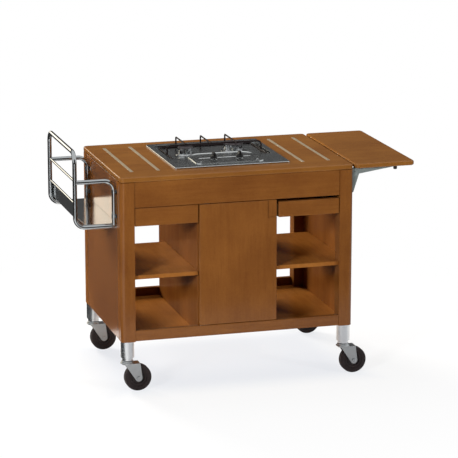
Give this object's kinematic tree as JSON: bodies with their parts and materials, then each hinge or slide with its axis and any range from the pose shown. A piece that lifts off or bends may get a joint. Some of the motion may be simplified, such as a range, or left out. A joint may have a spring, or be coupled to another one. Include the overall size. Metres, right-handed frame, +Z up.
{
  "type": "flambe cart",
  "caption": "Wooden service cart with a gas hob set in its top, a drop flap, a bottle rack on one end, open shelves, a centre door, cutlery drawers and swivel casters.",
  "frame": {"origin": "on the floor, below the middle of the outline of the whole cart with its flap up", "axes": "+X along the worktop towards the drop flap, +Y to the back, away from the door, +Z up, normal to the worktop"},
  "size_m": [1.284, 0.61, 0.898],
  "materials": {
    "wood_top": "stained and varnished",
    "wood_front": "stained and varnished",
    "wood_panel": "stained and varnished",
    "wood_inner": "clear lacquer",
    "strip_metal": "satin anodised",
    "fitting_steel": "zinc plated",
    "catch_plastic": "matt",
    "hob_steel": "brushed stainless",
    "black_wire": "black enamel",
    "burner_alloy": "satin",
    "burner_enamel": "black enamel",
    "gas_brass": "plain",
    "knob_black": "satin",
    "bracket_grey": "grey stove enamel",
    "bumper_rubber": "matt",
    "tube_chrome": "satin chrome",
    "tray_steel": "polished stainless",
    "fork_zinc": "zinc plated",
    "wheel_dark": "satin",
    "tyre_dark": "matt"
  },
  "bodies": {
    "cabinet": {"worktop": "wood_top", "post_front_left": "wood_front", "post_front_right": "wood_front", "post_back_left": "wood_front", "post_back_right": "wood_front", "front_apron": "wood_front", "back_apron": "wood_front", "bottom_rail_front": "wood_front", "bottom_rail_back": "wood_front", "side_panel_left": "wood_panel", "side_panel_right": "wood_panel", "bottom_board": "wood_panel", "divider_left": "wood_panel", "divider_right": "wood_panel", "shelf_left": "wood_panel", "shelf_right": "wood_panel", "drawer_runners": "wood_inner", "worktop_strips": "strip_metal", "door_pivots": "fitting_steel", "door_catch": "catch_plastic", "hob_plate": "hob_steel", "hob_underbox": "hob_steel", "pan_support": "black_wire", "burner_left": "burner_alloy", "burner_right": "burner_alloy", "burner_caps": "burner_enamel", "gas_taps": "gas_brass", "flap_wall_brackets": "bracket_grey", "rack_frame": "tube_chrome", "rack_end_loops": "tube_chrome", "rack_rods": "tube_chrome", "rack_clips": "tube_chrome", "leg_tubes": "tube_chrome", "rack_tray": "tray_steel"},
    "door": {"door": "wood_front", "catch_plate": "fitting_steel"},
    "drawer_left": {"drawer_left_front": "wood_front", "drawer_left_box": "wood_inner"},
    "drawer_right": {"drawer_right_front": "wood_front", "drawer_right_box": "wood_inner"},
    "spindle_left": {"tap_spindle_left": "gas_brass"},
    "knob_left": {"knob_left": "knob_black"},
    "spindle_right": {"tap_spindle_right": "gas_brass"},
    "knob_right": {"knob_right": "knob_black"},
    "flap": {"flap": "wood_top", "flap_arm_front": "bracket_grey", "flap_arm_back": "bracket_grey", "flap_bumpers": "bumper_rubber"},
    "caster_front_left": {"fork_front_left": "fork_zinc"},
    "wheel_front_left": {"wheel_front_left": "wheel_dark", "tyre_front_left": "tyre_dark"},
    "caster_front_right": {"fork_front_right": "fork_zinc"},
    "wheel_front_right": {"wheel_front_right": "wheel_dark", "tyre_front_right": "tyre_dark"},
    "caster_back_left": {"fork_back_left": "fork_zinc"},
    "wheel_back_left": {"wheel_back_left": "wheel_dark", "tyre_back_left": "tyre_dark"},
    "caster_back_right": {"fork_back_right": "fork_zinc"},
    "wheel_back_right": {"wheel_back_right": "wheel_dark", "tyre_back_right": "tyre_dark"}
  },
  "joints": [
    {"name": "door_hinge", "type": "hinge", "parent": "cabinet", "child": "door", "pos_m": [-0.1795, -0.296, 0.46], "axis": [0, 0, -1], "range_deg": [0, 90]},
    {"name": "drawer_left_slide", "type": "slide", "parent": "cabinet", "child": "drawer_left", "axis": [0, -1, 0], "range_m": [0, 0.28]},
    {"name": "drawer_right_slide", "type": "slide", "parent": "cabinet", "child": "drawer_right", "axis": [0, -1, 0], "range_m": [0, 0.28]},
    {"name": "spindle_left_turn", "type": "hinge", "parent": "cabinet", "child": "spindle_left", "pos_m": [-0.0785, -0.107, 0.79], "axis": [0, 0, 1], "range_deg": [0, 180]},
    {"name": "knob_left_press", "type": "slide", "parent": "spindle_left", "child": "knob_left", "axis": [0, 0, -1], "range_m": [0, 0.003], "stiffness_N_per_m": 300, "springref_m": -0.003},
    {"name": "spindle_right_turn", "type": "hinge", "parent": "cabinet", "child": "spindle_right", "pos_m": [0.0215, -0.107, 0.79], "axis": [0, 0, 1], "range_deg": [0, 180]},
    {"name": "knob_right_press", "type": "slide", "parent": "spindle_right", "child": "knob_right", "axis": [0, 0, -1], "range_m": [0, 0.003], "stiffness_N_per_m": 300, "springref_m": -0.003},
    {"name": "flap_fold", "type": "hinge", "parent": "cabinet", "child": "flap", "pos_m": [0.4195, 0, 0.775], "axis": [0, 1, 0], "range_deg": [0, 95]},
    {"name": "swivel_front_left", "type": "hinge", "parent": "cabinet", "child": "caster_front_left", "pos_m": [-0.457, -0.279, 0.112], "axis": [0, 0, 1], "continuous": true},
    {"name": "roll_front_left", "type": "hinge", "parent": "caster_front_left", "child": "wheel_front_left", "pos_m": [-0.419, -0.279, 0.05], "axis": [0, 1, 0], "continuous": true},
    {"name": "swivel_front_right", "type": "hinge", "parent": "cabinet", "child": "caster_front_right", "pos_m": [0.376, -0.279, 0.112], "axis": [0, 0, 1], "continuous": true},
    {"name": "roll_front_right", "type": "hinge", "parent": "caster_front_right", "child": "wheel_front_right", "pos_m": [0.414, -0.279, 0.05], "axis": [0, 1, 0], "continuous": true},
    {"name": "swivel_back_left", "type": "hinge", "parent": "cabinet", "child": "caster_back_left", "pos_m": [-0.457, 0.279, 0.112], "axis": [0, 0, 1], "continuous": true},
    {"name": "roll_back_left", "type": "hinge", "parent": "caster_back_left", "child": "wheel_back_left", "pos_m": [-0.419, 0.279, 0.05], "axis": [0, 1, 0], "continuous": true},
    {"name": "swivel_back_right", "type": "hinge", "parent": "cabinet", "child": "caster_back_right", "pos_m": [0.376, 0.279, 0.112], "axis": [0, 0, 1], "continuous": true},
    {"name": "roll_back_right", "type": "hinge", "parent": "caster_back_right", "child": "wheel_back_right", "pos_m": [0.414, 0.279, 0.05], "axis": [0, 1, 0], "continuous": true}
  ]
}
